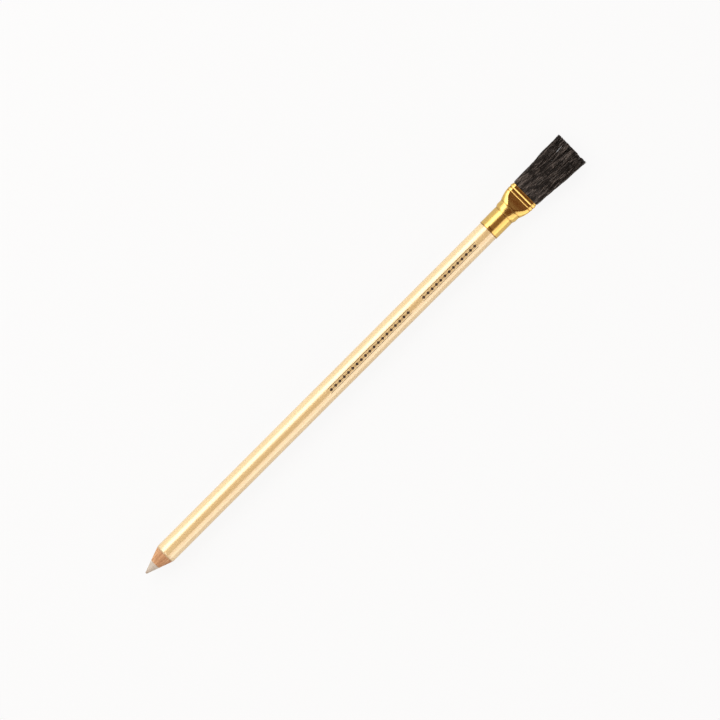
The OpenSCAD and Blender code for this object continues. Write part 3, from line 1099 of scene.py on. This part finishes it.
@dataclass
class Brush:
    """Flat tuft of dark bristles, set in the ferrule's mouth."""

    place: Layout
    ferrule: Ferrule
    seed: int = 21
    rows: int = 12
    columns: int = 150
    jitter: Pair = (0.9, 0.7)
    rings: int = 16
    root_depth: float = 2.5 * MM
    root_inset: float = 0.5 * MM
    root_room: float = 0.06 * MM
    plug_room: float = 0.03 * MM

    root_r: float = 0.082 * MM
    root_sizes: Pair = (0.75, 1.2)
    tip_share: float = 0.5
    taper_power: float = 1.5

    spread: float = 0.48 * MM
    swell_l: float = 0.5 * MM
    swell_t: float = 0.1 * MM
    fan: float = 1.24 * MM
    fan_power: float = 1.3
    lean: float = -0.52 * MM
    thicken: float = 0.45 * MM

    ragged: float = 0.9 * MM
    ragged_power: float = 2.2
    slant: float = 0.02
    notch_seed: int = 34972
    notches: int = 19
    notch_l: float = 0.45 * MM
    notch_power: int = 3

    clumps: int = 110
    clump_half_t: float = 1.0 * MM
    pull: Pair = (0.2, 0.75)
    pull_power: float = 1.3
    pull_share: float = 0.66
    clump_wave: Pair = (0.05 * MM, 0.26 * MM)
    clump_turns: Pair = (1.4, 3.0)
    strand_wave: Pair = (0.02 * MM, 0.12 * MM)
    strand_turns: Pair = (0.6, 2.4)
    calm_share: float = 0.25
    stray: Pair = (0.5 * MM, 0.125 * MM)
    stray_from: float = 0.95
    clump_tone: float = 0.5
    bend_l: float = 26.0 * MM

    def roots(self, rng: np.random.Generator) -> tuple[Array, Array]:
        """Places where the bristles leave the mouth: jittered rows that fill its section.

        Args:
            rng: Seeded draws.

        Returns:
            y and height over the axis, one for each bristle.
        """
        room = self.ferrule.mouth_sheet_r - self.ferrule.wall / 2 - self.root_room
        row, col = np.meshgrid(np.arange(self.rows), np.arange(self.columns), indexing="ij")
        draw_y, draw_z = rng.uniform(-0.5, 0.5, (2, self.rows, self.columns))
        z = room * (2 * (row + 0.5 + self.jitter[1] * draw_z) / self.rows - 1)
        z = np.clip(z, -room, room)
        half = self.ferrule.mouth_run + np.sqrt(np.maximum(0, room**2 - z**2))
        y = half * (2 * (col + 0.5 + self.jitter[0] * draw_y) / self.columns - 1)
        return y.ravel(), z.ravel()

    def notch(self, out_y: Array) -> Array:
        """Shortfall of the tuft's end, 0 to 1: straight lines between seeded depths across it."""
        draws = np.random.default_rng(self.notch_seed).uniform(0, 1, self.notches)
        return np.interp(out_y, np.linspace(-1, 1, self.notches), draws**self.notch_power)

    def swing(
        self, rng: np.random.Generator, count: int, size: Pair, turns: Pair, free: Array
    ) -> Array:
        """Sine waves along the bristles that grow from nothing at the mouth.

        Args:
            rng: Seeded draws.
            count: Number of waves.
            size: Least and greatest height of a wave.
            turns: Least and greatest number of turns along a bristle.
            free: Way along the free length from 0 to 1, in rows that fit the waves.

        Returns:
            Offsets in y and in z, one row a wave.
        """
        height = rng.uniform(*size, (2, count, 1))
        many, start = rng.uniform(*turns, (2, count, 1)), rng.uniform(0, 1, (2, count, 1))
        grown = np.minimum(1, free / self.calm_share)
        return height * np.sin(2 * np.pi * (many * free + start)) * grown

    def lines(self, rng: np.random.Generator) -> tuple[Array, Array, Array, Array, Array]:
        """Middle lines of the bristles.

        A line starts in the mouth and fans out with the way along. Its end is drawn towards the
        middle of its clump. A sine wave that its clump shares and one of its own bend it, and a
        few bristles stray. The ends are ragged, with shallow notches.

        Args:
            rng: Seeded draws.

        Returns:
            x, y and height over the axis of each bristle's rings, their way along the free length,
            and the number of each bristle's clump.
        """
        here, (root_y, root_z) = self.place, self.roots(rng)
        count, half_w = len(root_y), self.ferrule.mouth_run + self.ferrule.mouth_sheet_r
        out_y, out_z = root_y / half_w, root_z / self.ferrule.mouth_sheet_r
        clump_y = rng.uniform(-half_w, half_w, self.clumps)
        clump_z = rng.uniform(-1, 1, self.clumps) * self.clump_half_t
        gap = (root_y[:, None] - clump_y) ** 2 + (root_z[:, None] - clump_z) ** 2
        lock = np.argmin(gap, axis=1)
        pull = rng.uniform(*self.pull, count)
        short = self.ragged * rng.uniform(0, 1, count) ** self.ragged_power
        end_x = here.tuft_end_x - short + self.slant * (root_y - half_w)
        end_x -= self.notch_l * self.notch(out_y)
        start_x = here.mouth_x - self.root_depth
        whole = here.tuft_end_x - start_x
        held, swollen = self.root_depth / whole, (self.root_depth + self.swell_l) / whole
        share = np.concatenate([[0, held], np.linspace(swollen, 1, self.rings - 2)])
        x = start_x + (end_x - start_x)[:, None] * share
        free = np.clip((x - here.mouth_x) / (here.tuft_end_x - here.mouth_x), 0, 1)
        bulge = smooth(0, self.swell_l, x - here.mouth_x)
        wider = self.spread * bulge + self.fan * free**self.fan_power
        y = root_y[:, None] + out_y[:, None] * wider + self.lean * free
        z = root_z[:, None] + out_z[:, None] * (self.swell_t * bulge + self.thicken * free)
        drawn = (pull[:, None] * free**self.pull_power) * self.pull_share
        y += drawn * (clump_y[lock] - root_y)[:, None]
        z += drawn * (clump_z[lock] - root_z)[:, None]
        shared = self.swing(rng, self.clumps, self.clump_wave, self.clump_turns, free[None, :1])
        own = self.swing(rng, count, self.strand_wave, self.strand_turns, free[None])
        strays = rng.normal(0, 1, (2, count)) * (rng.uniform(0, 1, count) > self.stray_from)
        strays *= np.array(self.stray)[:, None]
        bends = (shared[:, lock] + own) + strays[..., None] * free**2
        return x, y + bends[0], z + bends[1], free, lock

    def tuft(self) -> Piece:
        """All bristles as thin three-sided tapered tubes round their lines.

        Returns:
            The piece.
        """
        rng = np.random.default_rng(self.seed)
        x, y, z, free, lock = self.lines(rng)
        corner = np.radians([90, 210, 330])
        count, sides = len(lock), len(corner)
        taper = 1 - (1 - self.tip_share) * free**self.taper_power
        radius = (self.root_r * rng.uniform(*self.root_sizes, count)[:, None] * taper)[..., None]
        across = y[..., None] + radius * np.cos(corner)
        height = self.place.axis_z + z[..., None] + radius * np.sin(corner)
        points = spread_points(x[..., None], across, height)
        caps = np.array([[2, 1, 0], [0, 1, 2]]) + np.array([[0], [sides * (self.rings - 1)]])
        faces = repeated([ring_faces(self.rings, sides), caps], count, self.rings * sides)
        own_tone, clump_tone = rng.uniform(0, 1, count), rng.uniform(0, 1, self.clumps)[lock]
        tone = (1 - self.clump_tone) * own_tone + self.clump_tone * clump_tone
        values = {
            "tone": np.broadcast_to(tone[:, None, None], across.shape),
            "along": np.broadcast_to(free[..., None], across.shape),
        }
        return make_piece("bristles", points, faces, BristleHair("bristle_hair").material(), values)

    def build(self) -> None:
        """Makes the bristles and the plug that they stand in."""
        here = self.place
        bristles = self.tuft()
        here.mouth_x + self.bend_l
        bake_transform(bristles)
        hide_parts("bristle_tuft")
        roots = PlainSet("root_set", (0.008, 0.006, 0.005), (0.02, 0.016, 0.013), roughness=0.5)
        start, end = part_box("bristle_roots")[0].x, here.mouth_x - self.root_inset
        dome = self.root_inset / 3
        plug = self.ferrule.plug("root_plug", start, end, dome, self.plug_room, roots)
        seat(plug, "bristle_roots")


# Studio


class Side(Enum):
    """Where a lamp stands beside the pencil: its way along X and Y."""

    BACK = (0, 1)
    FRONT = (0, -1)
    POINT = (-1, 0)


@dataclass(frozen=True)
class StripLight:
    """Long soft lamp that looks at the pencil's middle, tilted from straight above."""

    name: str
    side: Side
    tilt_deg: float
    away: float
    length: float
    width: float
    radiance: float

    def build(self, target: Vector) -> None:
        """Places the lamp along X, or across it at the point, and gives it its radiance.

        Args:
            target: The point that it looks at.
        """
        lamp = bpy.data.lights.new(self.name, "AREA")
        lamp.shape = "RECTANGLE"
        lamp.size, lamp.size_y = self.length, self.width
        lamp.energy = self.radiance * math.pi * self.length * self.width
        holder = bpy.data.objects.new(self.name, lamp)
        tilt = math.radians(self.tilt_deg)
        along, across = (way * math.sin(tilt) for way in self.side.value)
        aim = Vector((along, across, math.cos(tilt))).normalized()
        side = Vector((0, 1, 0)) if self.side is Side.POINT else Vector((1, 0, 0))
        up = aim.cross(side).normalized()
        axes = np.array([up.cross(aim), up, aim]).T
        holder.rotation_euler = Matrix(axes.tolist()).to_euler()
        holder.location = target + aim * self.away
        holder.visible_camera = False
        bpy.context.scene.collection.objects.link(holder)


@dataclass
class Studio:
    """Floor, light and camera."""

    place: Layout
    floor_half: float = 12.0
    floor_lit: Colour = (0.62, 0.62, 0.61)
    floor_roughness: float = 0.9
    floor_white: float = 0.9
    floor_mirrored: float = 0.4
    ceiling: Colour = (0.27, 0.155, 0.09)
    dark_end: Colour = (0.15, 0.060, 0.030)
    dark_from: Pair = (0.1, 0.5)
    horizon: Colour = (0.90, 0.88, 0.85)
    horizon_to: Pair = (0.1, 0.42)
    lens_mm: float = 200.0
    sensor_mm: float = 36.0
    clip_end: float = 100.0
    view_width: float = 245.5 * MM
    roll_deg: float = 45.02
    offset_right: float = 0.39 * MM
    offset_up: float = 0.05 * MM
    lamps: tuple[StripLight, ...] = (
        StripLight("key_wash", Side.BACK, 46.5, away=0.72, length=1.9, width=0.687, radiance=1.35),
        StripLight("key_strip", Side.BACK, 44.5, away=0.7, length=1.9, width=0.35, radiance=1.4),
        StripLight("fill_strip", Side.FRONT, 60, away=0.7, length=1.3, width=0.61, radiance=1.2),
        StripLight("end_panel", Side.POINT, 36, away=0.9, length=0.30, width=0.46, radiance=2.1),
    )

    def floor(self) -> None:
        """White floor that keeps a soft shadow: part of what the camera sees is a plain white."""
        corners = self.floor_half * np.array([[-1, -1, 0], [1, -1, 0], [1, 1, 0], [-1, 1, 0]])
        material = bpy.data.materials.new("floor_white")
        tree = ShadeTree(material)
        lit_colour = (*self.floor_lit, 1.0)
        tree.set(Base_Color=lit_colour, Roughness=self.floor_roughness, Specular_IOR_Level=0.0)
        rays = ("Is Camera Ray", "Is Glossy Ray", "Is Transmission Ray")
        camera, glossy, through = (tree.node("ShaderNodeLightPath", {}, [], ray) for ray in rays)
        mirrored = (glossy + through).math("MINIMUM", 1.0) * self.floor_mirrored
        seen = (camera * self.floor_white).math("MAXIMUM", mirrored)
        plain = tree.node("ShaderNodeEmission", {}, {"Color": (1, 1, 1, 1), "Strength": 1.0})
        lit = Shade(tree, tree.shader.outputs[0])
        joined = tree.node("ShaderNodeMixShader", {}, [seen, lit, plain])
        tree.links.new(joined.socket, tree.nodes["Material Output"].inputs["Surface"])
        make_piece("floor", corners, [np.array([[0, 1, 2, 3]])], material)

    def sky(self) -> None:
        """World that is bright at the horizon, dim overhead and dark towards the brush's end."""
        world = bpy.data.worlds.new("studio_world")
        bpy.context.scene.world = world
        tree = ShadeTree(world, "Background")
        way = tree.node("ShaderNodeTexCoord", {}, [])
        along, height = (tree.node("ShaderNodeSeparateXYZ", {}, [way], axis) for axis in (0, 2))
        overhead = tree.mix(along.step(*self.dark_from), self.ceiling, self.dark_end)
        tree.set(Color=tree.mix(height.step(*self.horizon_to), self.horizon, overhead))

    def camera(self) -> None:
        """Long lens straight above, turned so that the pencil lies across the frame's diagonal."""
        roll = math.radians(self.roll_deg)
        right = Vector((math.cos(roll), -math.sin(roll), 0))
        up = Vector((math.sin(roll), math.cos(roll), 0))
        lens = bpy.data.cameras.new("camera")
        lens.lens, lens.sensor_width = self.lens_mm, self.sensor_mm
        lens.clip_end = self.clip_end
        holder = bpy.data.objects.new("camera", lens)
        distance = self.view_width * self.lens_mm / self.sensor_mm
        middle = Vector((0, 0, self.place.axis_z))
        centre = middle + right * self.offset_right + up * self.offset_up
        holder.location = centre + Vector((0, 0, distance))
        holder.rotation_euler = (0, 0, -roll)
        bpy.context.scene.collection.objects.link(holder)
        bpy.context.scene.camera = holder

    def build(self) -> None:
        """Sets up floor, world, lamps and camera."""
        bpy.context.scene.view_settings.view_transform = "Standard"
        self.floor()
        self.sky()
        for lamp in self.lamps:
            lamp.build(Vector((0, 0, self.place.axis_z)))
        self.camera()


def main() -> None:
    """Builds the object's sub-assemblies, then the studio."""
    logging.basicConfig(level=logging.INFO, format="%(message)s")
    place = Layout.from_frame()
    Barrel(place).build()
    StampedBorder(place).build()
    ferrule = Ferrule(place)
    ferrule.build()
    Brush(place, ferrule).build()
    Studio(place).build()


if __name__ == "__main__":
    main()
